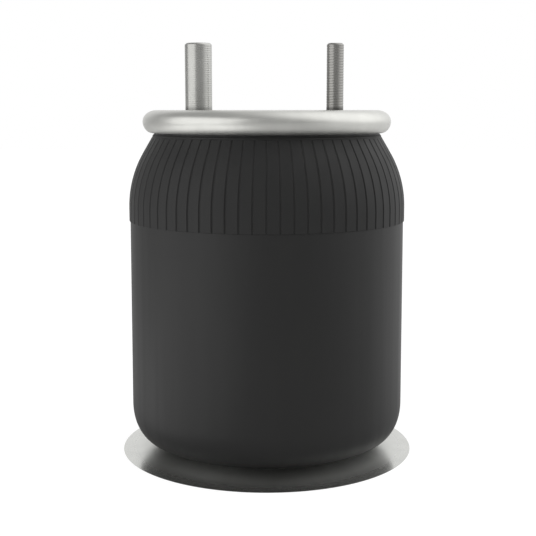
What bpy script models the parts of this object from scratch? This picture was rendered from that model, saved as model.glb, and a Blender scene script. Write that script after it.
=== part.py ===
"""Rolling lobe air suspension spring, metres, +Z up.

The foot's rim stands on z = 0 and the spring's axis is the Z axis. The bellows is one moulding on
the real spring. It is modelled in the stretches that move on their own: the bead and the ribbed
shoulder at the bead plate, the outer sleeve, the rolled lobe, and the inner sleeve on the piston.
"""

import math

import bmesh
import bpy

# Clearance between pieces that touch
GAP = 0.0003

# Bead plate, the round steel top with its rim rolled over the bead
PLATE_TOP_Z = 0.2582
PLATE_THICKNESS = 0.0032
ROLL_PROUD = 0.0081
ROLL_WIDTH = 0.0102
ROLL_HEIGHT = 0.0084
ROLL_SHEET = 0.0026
CURL_RADIUS = 0.0050
LIP_HEIGHT = 0.0084
LIP_WALL = 0.0019

# Upper bead and its wire
BEAD_DEPTH = 0.0117
WIRE_RADIUS = 0.0017
NECK_DROP = 0.0009
NECK_STEP = 0.0003

# Bellows
RUBBER_WALL = 0.0040
SLEEVE_RADIUS = 0.1034
SLEEVE_TAPER = 0.0006
BAND_STEP = 0.0008
BAND_STRAIGHT = 0.0102
SHOULDER_ARC = 0.0799
ARC_HEIGHT = 0.0405
CONE_HEIGHT = 0.0132
LOBE_DEPTH = 0.0278
LOBE_FLOOR_Z = 0.0094
RIB_COUNT = 69
GROOVE_WIDTH = 0.0011
GROOVE_DEPTH = 0.0008

# Studs in the bead plate
STUD_INSET = 0.0417
STUD_HEIGHT = 0.0491
STUD_HEAD_HEIGHT = 0.0040
STUD_CHAMFER = 0.0012
PLAIN_STUD_RADIUS = 0.00635
PLAIN_STUD_HEAD_RADIUS = 0.0110
COMBO_STUD_RADIUS = 0.0101
COMBO_STUD_HEAD_RADIUS = 0.0150
AIR_BORE_RADIUS = 0.0054
AIR_PORT_RADIUS = 0.0067
AIR_PORT_DEPTH = 0.0150

# Piston
PISTON_RADIUS = 0.0676
PISTON_WALL = 0.0025
PISTON_BOTTOM_Z = 0.0240
SEAT_DROP = 0.1002
SEAT_WIDTH = 0.0156
SEAT_FILLET = 0.0050
BOSS_HEIGHT = 0.0103

# Flared skirt
RIM_RADIUS = 0.1110
RIM_FLAT = 0.0020
SKIRT_SHEET = 0.0018
FLARE_HEIGHT = 0.0160
COLLAR_HEIGHT = 0.0140

# Base cup inside the skirt, with its weld nuts
BASE_THICKNESS = 0.0040
BASE_WALL = 0.0030
BASE_HEIGHT = 0.0340
BASE_CORNER = 0.0040
SOCKET_ROOM = 0.0028
HEAD_CLEARANCE = 0.0021
NUT_FLATS = 0.0190
NUT_HEIGHT = 0.0100
NUT_BORE_RADIUS = 0.0053
BASE_HOLE_RADIUS = 0.0066

# End closure, piston bolt and support tube
CLOSURE_THICKNESS = 0.0030
CLOSURE_INSET = 0.0056
CLOSURE_BOSS_RADIUS = 0.0160
CLOSURE_BOSS_DEPTH = 0.0190
CLOSURE_PAD_RADIUS = 0.0220
CLOSURE_PAD_HEIGHT = 0.0050
BOLT_RADIUS = 0.0060
BOLT_THREAD_DEPTH = 0.0060
BOLT_HEAD_FLATS = 0.0190
BOLT_HEAD_HEIGHT = 0.0075
BOLT_WASHER_RADIUS = 0.0135
BOLT_WASHER_HEIGHT = 0.0018
TUBE_WALL = 0.0027

# Bumper and its screw
BUMPER_RADIUS = 0.0340
BUMPER_TOP_RADIUS = 0.0270
BUMPER_WAIST_RADIUS = 0.0275
BUMPER_HEIGHT = 0.0560
BUMPER_FOOT_HEIGHT = 0.0140
BUMPER_WAIST_HEIGHT = 0.0280
BUMPER_CROWN_RADIUS = 0.0305
BUMPER_CROWN_DROP = 0.0120
BUMPER_EDGE = 0.0035
BUMPER_RECESS_ROOM = 0.0020
BUMPER_RECESS_DEPTH = 0.0150
SCREW_RADIUS = 0.0040
SCREW_THREAD_DEPTH = 0.0140
SCREW_HEAD_FLATS = 0.0130
SCREW_HEAD_HEIGHT = 0.0053
SCREW_WASHER_RADIUS = 0.0140
SCREW_WASHER_HEIGHT = 0.0020

# Steps of the turned pieces
LARGE_STEPS = 48
MIDDLE_STEPS = 36
SMALL_STEPS = 20

# Heights and radii that follow from the sizes above
PLATE_UNDER_Z = PLATE_TOP_Z - PLATE_THICKNESS
ROLL_Z = PLATE_TOP_Z - ROLL_HEIGHT
CAVITY_FLOOR_Z = ROLL_Z - CURL_RADIUS + ROLL_SHEET
LIP_BOTTOM_Z = ROLL_Z - LIP_HEIGHT
NECK_BOTTOM_Z = LIP_BOTTOM_Z - NECK_DROP
SHOULDER_TOP_Z = NECK_BOTTOM_Z - GAP
SHOULDER_CONE_Z = SHOULDER_TOP_Z - CONE_HEIGHT
SHOULDER_ARC_Z = SHOULDER_CONE_Z - ARC_HEIGHT
BAND_BOTTOM_Z = SHOULDER_ARC_Z - BAND_STRAIGHT
SLEEVE_TOP_Z = BAND_BOTTOM_Z - GAP
LOBE_Z = LOBE_FLOOR_Z + LOBE_DEPTH
SLEEVE_BOTTOM_Z = LOBE_Z + GAP
SLEEVE_TOP_RADIUS = SLEEVE_RADIUS - SLEEVE_TAPER
SHOULDER_RADIUS = SLEEVE_TOP_RADIUS + BAND_STEP
ARC_RUN = math.sqrt(SHOULDER_ARC**2 - ARC_HEIGHT**2)
CONE_SLOPE = ARC_HEIGHT / ARC_RUN
SHOULDER_TOP_RADIUS = SHOULDER_RADIUS - SHOULDER_ARC + ARC_RUN - CONE_SLOPE * CONE_HEIGHT
NECK_RADIUS = SHOULDER_TOP_RADIUS - NECK_STEP
LIP_RADIUS = NECK_RADIUS + LIP_WALL
RING_RADIUS = NECK_RADIUS + ROLL_PROUD
ROLL_START_RADIUS = RING_RADIUS - ROLL_WIDTH
CURL_CENTRE_RADIUS = RING_RADIUS - CURL_RADIUS
STUD_X = RING_RADIUS - STUD_INSET
BEAD_INNER_RADIUS = RING_RADIUS - ROLL_SHEET - GAP - BEAD_DEPTH
BEAD_WIRE_Z = (PLATE_UNDER_Z + CAVITY_FLOOR_Z) / 2
BEAD_WIRE_RADIUS = (BEAD_INNER_RADIUS + CURL_CENTRE_RADIUS) / 2
LOBE_INNER_RADIUS = PISTON_RADIUS + GAP
LOBE_CENTRE_RADIUS = (SLEEVE_RADIUS + LOBE_INNER_RADIUS) / 2
LOBE_HALF_WIDTH = (SLEEVE_RADIUS - LOBE_INNER_RADIUS) / 2
SEAT_Z = PLATE_TOP_Z - SEAT_DROP
BOSS_RADIUS = PISTON_RADIUS - SEAT_WIDTH
BOSS_TOP_Z = SEAT_Z + BOSS_HEIGHT
CLOSURE_RADIUS = PISTON_RADIUS - CLOSURE_INSET
CLOSURE_Z = BOSS_TOP_Z + GAP
CLOSURE_TOP_Z = CLOSURE_Z + CLOSURE_THICKNESS
PAD_TOP_Z = CLOSURE_TOP_Z + CLOSURE_PAD_HEIGHT
CLOSURE_BOSS_Z = CLOSURE_Z - CLOSURE_BOSS_DEPTH
BUMPER_Z = PAD_TOP_Z + GAP
BUMPER_RECESS_RADIUS = SCREW_WASHER_RADIUS + BUMPER_RECESS_ROOM
COLLAR_RADIUS = PISTON_RADIUS - PISTON_WALL - GAP
COLLAR_TOP_Z = PISTON_BOTTOM_Z + COLLAR_HEIGHT
BASE_RADIUS = COLLAR_RADIUS - SKIRT_SHEET - GAP
RECESS_RADIUS = BOLT_WASHER_RADIUS + SOCKET_ROOM
RECESS_HEIGHT = HEAD_CLEARANCE + BOLT_HEAD_HEIGHT + BOLT_WASHER_HEIGHT + 2 * GAP
RECESS_TOP_Z = RECESS_HEIGHT + BASE_THICKNESS
NUT_X = (BASE_RADIUS - BASE_WALL + RECESS_RADIUS + BASE_THICKNESS) / 2
HEX_CORNER = 1 / math.cos(math.radians(30))


def material(name, color, metallic, roughness):
    """A plain Principled material."""
    mat = bpy.data.materials.new(name)
    mat.use_nodes = True
    shader = mat.node_tree.nodes["Principled BSDF"]
    shader.inputs["Base Color"].default_value = (*color, 1.0)
    shader.inputs["Metallic"].default_value = metallic
    shader.inputs["Roughness"].default_value = roughness
    return mat


def rubber(name):
    return material(name, (0.03, 0.03, 0.032), 0.0, 0.55)


def plated_steel(name):
    return material(name, (0.62, 0.63, 0.60), 1.0, 0.3)


def black_steel(name):
    return material(name, (0.08, 0.08, 0.085), 0.9, 0.45)


def collection(name):
    group = bpy.data.collections.new(name)
    bpy.context.scene.collection.children.link(group)
    return group


def add_object(name, mesh, group, mat=None):
    obj = bpy.data.objects.new(name, mesh)
    group.objects.link(obj)
    if mat:
        mesh.materials.append(mat)
    return obj


def hide_as_cutter(obj):
    obj.hide_render = True
    obj.display_type = "WIRE"
    return obj


def arc(centre_r, centre_z, half_width, half_height, start, end, segments):
    """Points of an oval arc in the profile plane, from the start angle to the end angle."""
    points = []
    for i in range(segments + 1):
        angle = math.radians(start + (end - start) * i / segments)
        points.append((centre_r + half_width * math.cos(angle), centre_z + half_height * math.sin(angle)))
    return points


def turned(name, profile, steps, mat, closed=False, x=0.0):
    """A Screw turned from a profile of (radius, height), which runs down its outer side."""
    mesh = bpy.data.meshes.new(name)
    edges = [(i, i + 1) for i in range(len(profile) - 1)]
    if closed:
        edges.append((len(profile) - 1, 0))
    mesh.from_pydata([(r, 0.0, z) for r, z in profile], edges, [])
    obj = add_object(name, mesh, PARTS, mat)
    obj.location.x = x
    screw = obj.modifiers.new("turn", "SCREW")
    screw.axis = "Z"
    screw.steps = steps
    screw.render_steps = steps
    screw.use_merge_vertices = True
    screw.merge_threshold = 0.00001
    screw.use_smooth_shade = True
    return obj


def applied(obj):
    """Gives the object the mesh that its modifiers make, shaded smooth up to the sharp edges."""
    depsgraph = bpy.context.evaluated_depsgraph_get()
    mesh = bpy.data.meshes.new_from_object(obj.evaluated_get(depsgraph))
    obj.modifiers.clear()
    obj.data = mesh
    mesh.shade_smooth()
    mesh.set_sharp_from_angle(angle=math.radians(35))
    return obj


def cylinders(name, radius, z_low, z_high, places, steps=SMALL_STEPS):
    """Upright cylinders at the given x places, in one cutter object."""
    bm = bmesh.new()
    for x in places:
        made = bmesh.ops.create_cone(
            bm, cap_ends=True, segments=steps, radius1=radius, radius2=radius, depth=z_high - z_low
        )
        bmesh.ops.translate(bm, verts=made["verts"], vec=(x, 0.0, (z_low + z_high) / 2))
    mesh = bpy.data.meshes.new(name)
    bm.to_mesh(mesh)
    bm.free()
    return hide_as_cutter(add_object(name, mesh, CUTTERS))


def boolean(obj, tool, operation):
    modifier = obj.modifiers.new(tool.name, "BOOLEAN")
    modifier.operation = operation
    modifier.object = tool
    modifier.solver = "EXACT"
    return obj


def shoulder_radius(z):
    """Outer radius of the ribbed shoulder: upright, then an arc, then a cone up to the crimp."""
    arc_z = min(max(z, SHOULDER_ARC_Z), SHOULDER_CONE_Z) - SHOULDER_ARC_Z
    run = math.sqrt(SHOULDER_ARC**2 - arc_z**2)
    return SHOULDER_RADIUS - SHOULDER_ARC + run - CONE_SLOPE * max(0.0, z - SHOULDER_CONE_Z)


def bead_plate():
    """Round plate with the rim rolled down, round and in over the bead."""
    profile = [(0.0, PLATE_TOP_Z)]
    profile += arc(ROLL_START_RADIUS, ROLL_Z, ROLL_WIDTH, ROLL_HEIGHT, 90, 0, 5)
    profile += arc(CURL_CENTRE_RADIUS, ROLL_Z, CURL_RADIUS, CURL_RADIUS, -30, -75, 2)
    profile += [(LIP_RADIUS, LIP_BOTTOM_Z), (NECK_RADIUS + GAP, LIP_BOTTOM_Z)]
    profile += [(NECK_RADIUS + GAP, CAVITY_FLOOR_Z)]
    curl_inside = CURL_RADIUS - ROLL_SHEET
    profile += arc(CURL_CENTRE_RADIUS, ROLL_Z, curl_inside, curl_inside, -90, -30, 2)
    roll_inside_height = PLATE_UNDER_Z - ROLL_Z
    profile += arc(ROLL_START_RADIUS, ROLL_Z, ROLL_WIDTH - ROLL_SHEET, roll_inside_height, 0, 90, 4)
    profile += [(0.0, PLATE_UNDER_Z)]
    plate = turned("bead_plate", profile, LARGE_STEPS, plated_steel("bead_plate"))
    z_low = PLATE_UNDER_Z - PLATE_THICKNESS
    z_high = PLATE_TOP_Z + PLATE_THICKNESS
    combo = cylinders("combo_hole", COMBO_STUD_RADIUS + GAP, z_low, z_high, [-STUD_X], MIDDLE_STEPS)
    plain = cylinders("plain_hole", PLAIN_STUD_RADIUS + GAP, z_low, z_high, [STUD_X])
    boolean(plate, combo, "DIFFERENCE")
    boolean(plate, plain, "DIFFERENCE")
    return applied(plate)


def mounting_stud():
    """Plain stud, its head inside under the plate."""
    top = PLATE_TOP_Z + STUD_HEIGHT
    head_top = PLATE_UNDER_Z - GAP
    profile = [
        (0.0, top),
        (PLAIN_STUD_RADIUS - STUD_CHAMFER, top),
        (PLAIN_STUD_RADIUS, top - STUD_CHAMFER),
        (PLAIN_STUD_RADIUS, head_top),
        (PLAIN_STUD_HEAD_RADIUS, head_top),
        (PLAIN_STUD_HEAD_RADIUS, head_top - STUD_HEAD_HEIGHT),
        (0.0, head_top - STUD_HEAD_HEIGHT),
    ]
    mat = plated_steel("mounting_stud")
    return applied(turned("mounting_stud", profile, SMALL_STEPS, mat, x=STUD_X))


def combo_stud():
    """Wide stud with the air passage through it and a tapered port at its top."""
    top = PLATE_TOP_Z + STUD_HEIGHT
    head_top = PLATE_UNDER_Z - GAP
    head_bottom = head_top - STUD_HEAD_HEIGHT
    profile = [
        (AIR_PORT_RADIUS, top),
        (COMBO_STUD_RADIUS - STUD_CHAMFER, top),
        (COMBO_STUD_RADIUS, top - STUD_CHAMFER),
        (COMBO_STUD_RADIUS, head_top),
        (COMBO_STUD_HEAD_RADIUS, head_top),
        (COMBO_STUD_HEAD_RADIUS, head_bottom),
        (AIR_BORE_RADIUS, head_bottom),
        (AIR_BORE_RADIUS, top - AIR_PORT_DEPTH),
    ]
    mat = plated_steel("combo_stud")
    stud = turned("combo_stud", profile, MIDDLE_STEPS, mat, closed=True, x=-STUD_X)
    return applied(stud)


def upper_bead():
    """The bellows' upper bead, which fills the rolled rim, and its neck down out of the crimp."""
    curl_inside = CURL_RADIUS - ROLL_SHEET - GAP
    roll_inside_width = ROLL_WIDTH - ROLL_SHEET - GAP
    roll_inside_height = PLATE_UNDER_Z - ROLL_Z - GAP
    groove = WIRE_RADIUS + GAP
    floor = CAVITY_FLOOR_Z + GAP
    profile = [(BEAD_INNER_RADIUS, PLATE_UNDER_Z - GAP)]
    profile += arc(ROLL_START_RADIUS, ROLL_Z, roll_inside_width, roll_inside_height, 90, 0, 4)
    profile += arc(CURL_CENTRE_RADIUS, ROLL_Z, curl_inside, curl_inside, -30, -90, 2)
    profile += [(NECK_RADIUS, floor), (NECK_RADIUS, NECK_BOTTOM_Z)]
    profile += [(NECK_RADIUS - RUBBER_WALL, NECK_BOTTOM_Z), (NECK_RADIUS - RUBBER_WALL, floor)]
    profile += [
        (BEAD_INNER_RADIUS, BEAD_WIRE_Z - groove),
        (BEAD_WIRE_RADIUS + groove, BEAD_WIRE_Z - groove),
        (BEAD_WIRE_RADIUS + groove, BEAD_WIRE_Z + groove),
        (BEAD_INNER_RADIUS, BEAD_WIRE_Z + groove),
    ]
    mat = rubber("bellows_upper_bead")
    return applied(turned("bellows_upper_bead", profile, MIDDLE_STEPS, mat, closed=True))


def wire_ring(name, ring_radius, z):
    """A hoop of bead wire."""
    profile = arc(ring_radius, z, WIRE_RADIUS, WIRE_RADIUS, 150, -150, 5)
    return applied(turned(name, profile, MIDDLE_STEPS, plated_steel(name), closed=True))


def shoulder_profile():
    """Closed outline of the shoulder's wall, down its outer side and up its inner side."""
    outer_z = [SHOULDER_TOP_Z]
    outer_z += [SHOULDER_CONE_Z - ARC_HEIGHT * i / 3 for i in range(4)]
    outer_z.append(BAND_BOTTOM_Z)
    inner_z = [BAND_BOTTOM_Z]
    inner_z += [SHOULDER_ARC_Z + ARC_HEIGHT * i / 2 for i in range(3)]
    inner_z.append(SHOULDER_TOP_Z)
    outer = [(shoulder_radius(z), z) for z in outer_z]
    inner = [(shoulder_radius(z) - RUBBER_WALL, z) for z in inner_z]
    return outer + inner


def shoulder():
    """Ribbed shoulder: flat ribs with a narrow groove between each pair, one groove at the front."""
    mat = rubber("bellows_shoulder")
    columns = 3 * RIB_COUNT
    obj = applied(turned("bellows_shoulder", shoulder_profile(), columns, mat, closed=True))
    pitch = math.tau / RIB_COUNT
    half_groove = GROOVE_WIDTH / SHOULDER_RADIUS / 2
    place = (0.0, half_groove, pitch - half_groove)
    for vertex in obj.data.vertices:
        radius = math.hypot(vertex.co.x, vertex.co.y)
        column = round(math.atan2(vertex.co.y, vertex.co.x) / math.tau * columns) % columns
        outside = radius > shoulder_radius(vertex.co.z) - RUBBER_WALL / 2
        if outside and column % 3 == 0:
            radius -= GROOVE_DEPTH
        angle = column // 3 * pitch + place[column % 3] - math.pi / 2
        vertex.co.x = radius * math.cos(angle)
        vertex.co.y = radius * math.sin(angle)
    return obj


def outer_sleeve():
    """Plain sleeve between the ribbed band and the lobe, a little wider at its foot."""
    profile = [
        (SLEEVE_TOP_RADIUS, SLEEVE_TOP_Z),
        (SLEEVE_RADIUS, SLEEVE_BOTTOM_Z),
        (SLEEVE_RADIUS - RUBBER_WALL, SLEEVE_BOTTOM_Z),
        (SLEEVE_TOP_RADIUS - RUBBER_WALL, SLEEVE_TOP_Z),
    ]
    mat = rubber("bellows_outer_sleeve")
    return applied(turned("bellows_outer_sleeve", profile, LARGE_STEPS, mat, closed=True))


def lobe():
    """The fold in which the sleeve turns up against the piston."""
    profile = arc(LOBE_CENTRE_RADIUS, LOBE_Z, LOBE_HALF_WIDTH, LOBE_DEPTH, 0, -180, 8)
    inside_width = LOBE_HALF_WIDTH - RUBBER_WALL
    inside_depth = LOBE_DEPTH - RUBBER_WALL
    profile += arc(LOBE_CENTRE_RADIUS, LOBE_Z, inside_width, inside_depth, -180, 0, 6)
    mat = rubber("bellows_lobe")
    return applied(turned("bellows_lobe", profile, LARGE_STEPS, mat, closed=True))


def inner_sleeve():
    """Sleeve that lies on the piston wall, turned in over the piston's edge to the lower bead."""
    outside = LOBE_INNER_RADIUS + RUBBER_WALL
    bead_top = BOSS_TOP_Z
    bead_floor = SEAT_Z + GAP
    bead_inner = BOSS_RADIUS + GAP
    bend = bead_top - SEAT_Z + SEAT_FILLET
    groove = WIRE_RADIUS + GAP
    wire_z = (bead_top + bead_floor) / 2
    wire_radius = bead_inner + RUBBER_WALL
    fillet = SEAT_FILLET + GAP
    fillet_radius = LOBE_INNER_RADIUS - fillet
    profile = [(bead_inner, bead_top)]
    profile += arc(outside - bend, bead_top - bend, bend, bend, 90, 0, 4)
    profile += [(outside, SLEEVE_BOTTOM_Z), (LOBE_INNER_RADIUS, SLEEVE_BOTTOM_Z)]
    profile += arc(fillet_radius, bead_floor - fillet, fillet, fillet, 0, 90, 2)
    profile += [
        (bead_inner, bead_floor),
        (bead_inner, wire_z - groove),
        (wire_radius + groove, wire_z - groove),
        (wire_radius + groove, wire_z + groove),
        (bead_inner, wire_z + groove),
    ]
    mat = rubber("bellows_inner_sleeve")
    sleeve = turned("bellows_inner_sleeve", profile, MIDDLE_STEPS, mat, closed=True)
    wire_ring("lower_bead_wire", wire_radius, wire_z)
    return applied(sleeve)


def piston_body():
    """Drawn steel cup with the stepped seat for the lower bead."""
    inside = PISTON_RADIUS - PISTON_WALL
    seat_under = SEAT_Z - PISTON_WALL
    inner_fillet = SEAT_FILLET - PISTON_WALL
    fillet_radius = PISTON_RADIUS - SEAT_FILLET
    fillet_z = SEAT_Z - SEAT_FILLET
    hole = CLOSURE_BOSS_RADIUS + GAP
    profile = [(hole, BOSS_TOP_Z), (BOSS_RADIUS, BOSS_TOP_Z), (BOSS_RADIUS, SEAT_Z)]
    profile += arc(fillet_radius, fillet_z, SEAT_FILLET, SEAT_FILLET, 90, 0, 2)
    profile += [(PISTON_RADIUS, PISTON_BOTTOM_Z), (inside, PISTON_BOTTOM_Z)]
    profile += arc(fillet_radius, fillet_z, inner_fillet, inner_fillet, 0, 90, 2)
    profile += [
        (BOSS_RADIUS - PISTON_WALL, seat_under),
        (BOSS_RADIUS - PISTON_WALL, BOSS_TOP_Z - PISTON_WALL),
        (hole, BOSS_TOP_Z - PISTON_WALL),
    ]
    return applied(turned("piston_body", profile, LARGE_STEPS, black_steel("piston_body"), closed=True))


def piston_skirt():
    """Collar inside the piston's foot, stepped out and swept to the wide rim under the lobe."""
    centre = RIM_RADIUS - RIM_FLAT
    sweep = centre - PISTON_RADIUS
    step_z = PISTON_BOTTOM_Z - GAP
    profile = [(COLLAR_RADIUS, COLLAR_TOP_Z), (COLLAR_RADIUS, step_z), (PISTON_RADIUS, step_z)]
    profile += arc(centre, FLARE_HEIGHT, sweep, FLARE_HEIGHT - SKIRT_SHEET, 180, 270, 6)
    profile += [(RIM_RADIUS, SKIRT_SHEET), (RIM_RADIUS, 0.0)]
    profile += arc(centre, FLARE_HEIGHT, sweep + SKIRT_SHEET, FLARE_HEIGHT, 270, 180, 6)
    profile += [
        (COLLAR_RADIUS - SKIRT_SHEET, FLARE_HEIGHT + SKIRT_SHEET),
        (COLLAR_RADIUS - SKIRT_SHEET, COLLAR_TOP_Z),
    ]
    return applied(turned("piston_skirt", profile, LARGE_STEPS, plated_steel("piston_skirt"), closed=True))


def piston_base():
    """Cup inside the collar: the flat mounting face, with a raised middle for the bolt head."""
    inside = BASE_RADIUS - BASE_WALL
    hole = BOLT_RADIUS + GAP
    step = RECESS_RADIUS + BASE_THICKNESS
    profile = [
        (BASE_RADIUS, BASE_HEIGHT),
        (BASE_RADIUS, BASE_CORNER),
        (BASE_RADIUS - BASE_CORNER, 0.0),
        (RECESS_RADIUS, 0.0),
        (RECESS_RADIUS, RECESS_HEIGHT),
        (hole, RECESS_HEIGHT),
        (hole, RECESS_TOP_Z),
        (step, RECESS_TOP_Z),
        (step, BASE_THICKNESS),
        (inside - BASE_CORNER / 2, BASE_THICKNESS),
        (inside, BASE_THICKNESS + BASE_CORNER / 2),
        (inside, BASE_HEIGHT),
    ]
    base = turned("piston_base", profile, MIDDLE_STEPS, black_steel("piston_base"), closed=True)
    places = [-NUT_X, NUT_X]
    holes = cylinders("base_holes", BASE_HOLE_RADIUS, -BASE_THICKNESS, 2 * BASE_THICKNESS, places)
    boolean(base, holes, "DIFFERENCE")
    return applied(base)


def base_weld_nut(name, x):
    """Hexagon nut welded over one of the base's mounting holes."""
    bottom = BASE_THICKNESS + GAP
    corner = NUT_FLATS / 2 * HEX_CORNER
    bm = bmesh.new()
    bmesh.ops.create_cone(bm, cap_ends=True, segments=6, radius1=corner, radius2=corner, depth=NUT_HEIGHT)
    bmesh.ops.translate(bm, verts=bm.verts, vec=(x, 0.0, bottom + NUT_HEIGHT / 2))
    mesh = bpy.data.meshes.new(name)
    bm.to_mesh(mesh)
    bm.free()
    nut = add_object(name, mesh, PARTS, plated_steel(name))
    bore = cylinders(name + "_bore", NUT_BORE_RADIUS, 0.0, bottom + 2 * NUT_HEIGHT, [x])
    return applied(boolean(nut, bore, "DIFFERENCE"))


def end_closure():
    """Disc that clamps the lower bead, tapped for the bumper screw above and the bolt below."""
    screw_bore = SCREW_RADIUS + GAP
    bolt_bore = BOLT_RADIUS + GAP
    screw_floor = PAD_TOP_Z - SCREW_THREAD_DEPTH - GAP
    bolt_roof = CLOSURE_BOSS_Z + BOLT_THREAD_DEPTH + GAP
    profile = [
        (0.0, screw_floor),
        (screw_bore, screw_floor),
        (screw_bore, PAD_TOP_Z),
        (CLOSURE_PAD_RADIUS, PAD_TOP_Z),
        (CLOSURE_PAD_RADIUS, CLOSURE_TOP_Z),
        (CLOSURE_RADIUS, CLOSURE_TOP_Z),
        (CLOSURE_RADIUS, CLOSURE_Z),
        (CLOSURE_BOSS_RADIUS, CLOSURE_Z),
        (CLOSURE_BOSS_RADIUS, CLOSURE_BOSS_Z),
        (bolt_bore, CLOSURE_BOSS_Z),
        (bolt_bore, bolt_roof),
        (0.0, bolt_roof),
    ]
    return applied(turned("end_closure", profile, MIDDLE_STEPS, black_steel("end_closure")))


def hex_headed(name, shank_radius, shank_low, shank_high, head_flats, head_low, head_high):
    """A round shank joined to a hexagon head."""
    mat = plated_steel(name)
    profile = [(0.0, shank_high), (shank_radius, shank_high), (shank_radius, shank_low), (0.0, shank_low)]
    bolt = turned(name, profile, SMALL_STEPS, mat)
    corner = head_flats / 2 * HEX_CORNER
    head = cylinders(name + "_head", corner, head_low, head_high, [0.0], 6)
    return applied(boolean(bolt, head, "UNION"))


def washer(name, hole_radius, radius, z_low, height):
    profile = [
        (radius, z_low + height),
        (radius, z_low),
        (hole_radius, z_low),
        (hole_radius, z_low + height),
    ]
    return applied(turned(name, profile, SMALL_STEPS, plated_steel(name), closed=True))


def piston_bolt():
    """Long bolt from the base's recess up through the support tube into the end closure."""
    washer_z = RECESS_HEIGHT - GAP - BOLT_WASHER_HEIGHT
    head_high = washer_z - GAP
    head_low = head_high - BOLT_HEAD_HEIGHT
    tip = CLOSURE_BOSS_Z + BOLT_THREAD_DEPTH
    washer("piston_bolt_washer", BOLT_RADIUS + GAP, BOLT_WASHER_RADIUS, washer_z, BOLT_WASHER_HEIGHT)
    middle = (head_low + head_high) / 2
    return hex_headed("piston_bolt", BOLT_RADIUS, middle, tip, BOLT_HEAD_FLATS, head_low, head_high)


def support_tube():
    """Column between the base and the end closure, round the bolt."""
    inside = BOLT_RADIUS + GAP
    profile = [
        (inside + TUBE_WALL, CLOSURE_BOSS_Z - GAP),
        (inside + TUBE_WALL, RECESS_TOP_Z + GAP),
        (inside, RECESS_TOP_Z + GAP),
        (inside, CLOSURE_BOSS_Z - GAP),
    ]
    mat = black_steel("support_tube")
    return applied(turned("support_tube", profile, SMALL_STEPS, mat, closed=True))


def bumper():
    """Rubber bumper with a waist, hollowed at its top for the washer and the screw head."""
    top = BUMPER_Z + BUMPER_HEIGHT
    recess_floor = top - BUMPER_RECESS_DEPTH
    hole = SCREW_RADIUS + GAP
    profile = [
        (BUMPER_RECESS_RADIUS, top),
        (BUMPER_TOP_RADIUS - BUMPER_EDGE, top),
        (BUMPER_TOP_RADIUS, top - BUMPER_EDGE),
        (BUMPER_CROWN_RADIUS, top - BUMPER_CROWN_DROP),
        (BUMPER_WAIST_RADIUS, BUMPER_Z + BUMPER_WAIST_HEIGHT),
        (BUMPER_RADIUS, BUMPER_Z + BUMPER_FOOT_HEIGHT),
        (BUMPER_RADIUS, BUMPER_Z),
        (hole, BUMPER_Z),
        (hole, recess_floor),
        (BUMPER_RECESS_RADIUS, recess_floor),
    ]
    mat = rubber("bumper")
    return applied(turned("bumper", profile, MIDDLE_STEPS, mat, closed=True))


def bumper_screw():
    """Screw and washer that hold the bumper down on the end closure."""
    recess_floor = BUMPER_Z + BUMPER_HEIGHT - BUMPER_RECESS_DEPTH
    washer_z = recess_floor + GAP
    head_low = washer_z + SCREW_WASHER_HEIGHT + GAP
    head_high = head_low + SCREW_HEAD_HEIGHT
    tip = PAD_TOP_Z - SCREW_THREAD_DEPTH
    washer("bumper_washer", SCREW_RADIUS + GAP, SCREW_WASHER_RADIUS, washer_z, SCREW_WASHER_HEIGHT)
    middle = (head_low + head_high) / 2
    return hex_headed("bumper_screw", SCREW_RADIUS, tip, middle, SCREW_HEAD_FLATS, head_low, head_high)


for old in list(bpy.data.objects):
    bpy.data.objects.remove(old, do_unlink=True)

PARTS = collection("air_suspension_spring")
CUTTERS = collection("cutters")

bead_plate()
mounting_stud()
combo_stud()
upper_bead()
wire_ring("upper_bead_wire", BEAD_WIRE_RADIUS, BEAD_WIRE_Z)
shoulder()
outer_sleeve()
lobe()
inner_sleeve()
piston_body()
piston_skirt()
piston_base()
base_weld_nut("base_weld_nut_left", -NUT_X)
base_weld_nut("base_weld_nut_right", NUT_X)
end_closure()
support_tube()
piston_bolt()
bumper()
bumper_screw()
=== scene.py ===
"""Looks of the rolling lobe air spring: crimped steel plate with two threaded studs, ribbed black
rubber bellows, and the flared steel skirt under it. Metres, the spring's axis is the Z axis."""

import math

import bmesh
import bpy
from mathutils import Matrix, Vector


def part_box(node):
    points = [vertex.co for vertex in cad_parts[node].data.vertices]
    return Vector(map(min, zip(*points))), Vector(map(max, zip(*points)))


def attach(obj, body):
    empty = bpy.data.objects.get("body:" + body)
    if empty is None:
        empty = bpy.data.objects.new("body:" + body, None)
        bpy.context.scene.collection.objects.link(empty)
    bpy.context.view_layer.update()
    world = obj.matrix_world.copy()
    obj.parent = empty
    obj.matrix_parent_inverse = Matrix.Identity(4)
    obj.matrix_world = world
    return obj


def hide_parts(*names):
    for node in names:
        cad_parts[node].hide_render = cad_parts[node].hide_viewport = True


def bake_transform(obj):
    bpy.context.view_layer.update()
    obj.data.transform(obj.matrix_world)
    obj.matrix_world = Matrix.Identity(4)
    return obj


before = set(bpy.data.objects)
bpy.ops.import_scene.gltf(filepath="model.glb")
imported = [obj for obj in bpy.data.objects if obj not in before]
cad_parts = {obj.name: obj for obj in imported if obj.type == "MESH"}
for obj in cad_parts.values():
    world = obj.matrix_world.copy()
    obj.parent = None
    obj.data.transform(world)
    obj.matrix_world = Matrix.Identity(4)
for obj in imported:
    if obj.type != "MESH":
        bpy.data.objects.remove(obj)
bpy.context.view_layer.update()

# Sizes read from the frame
_, PLATE_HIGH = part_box("bead_plate")
SHOULDER_LOW, SHOULDER_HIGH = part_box("bellows_shoulder")
_, SLEEVE_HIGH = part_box("bellows_outer_sleeve")
LOBE_LOW, LOBE_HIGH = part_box("bellows_lobe")
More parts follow.
